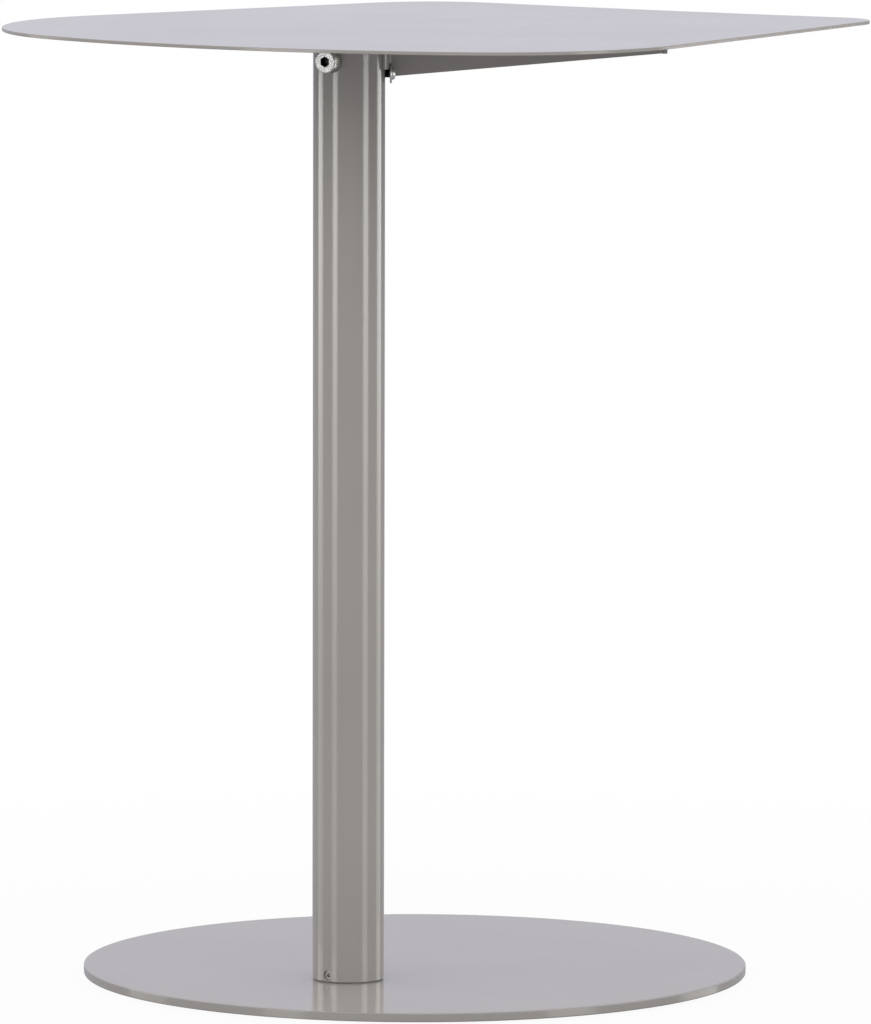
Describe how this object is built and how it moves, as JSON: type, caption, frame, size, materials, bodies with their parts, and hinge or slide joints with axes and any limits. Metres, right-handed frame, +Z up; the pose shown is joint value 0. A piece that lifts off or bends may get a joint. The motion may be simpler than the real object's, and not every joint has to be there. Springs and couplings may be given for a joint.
{
  "type": "side table",
  "caption": "Small pedestal table of sheet steel: round base disc, off-centre tube column, folded arms, and a thin flat top with softly rounded, unequal corners.",
  "frame": {"origin": "centre of the round base's underside, on the floor", "axes": "+Z up; +X towards the side arm, to the right in the picture; +Y away from the viewer, towards the back corner"},
  "size_m": [0.4965, 0.4121, 0.545],
  "materials": {
    "coated_steel": "satin warm-grey coating on sheet and tube steel",
    "turned_steel": "turned bar, fine tool marks",
    "plated_screw": "zinc-plated fasteners",
    "felt": "pressed wool felt, charcoal"
  },
  "bodies": {
    "root": {"base_felt": "felt", "base_plate": "coated_steel", "foot_plug": "turned_steel", "foot_screw": "plated_screw", "foot_pin": "plated_screw", "foot_lock_screw": "plated_screw", "column_tube": "coated_steel", "head_plug": "turned_steel", "side_arm": "coated_steel", "rear_arm": "coated_steel", "hook_screw": "plated_screw", "cross_bolt": "plated_screw", "cross_washer": "plated_screw", "cross_nut": "plated_screw", "top_studs": "plated_screw", "stud_washers": "plated_screw", "stud_nuts": "plated_screw", "top_plate": "coated_steel"}
  },
  "joints": []
}
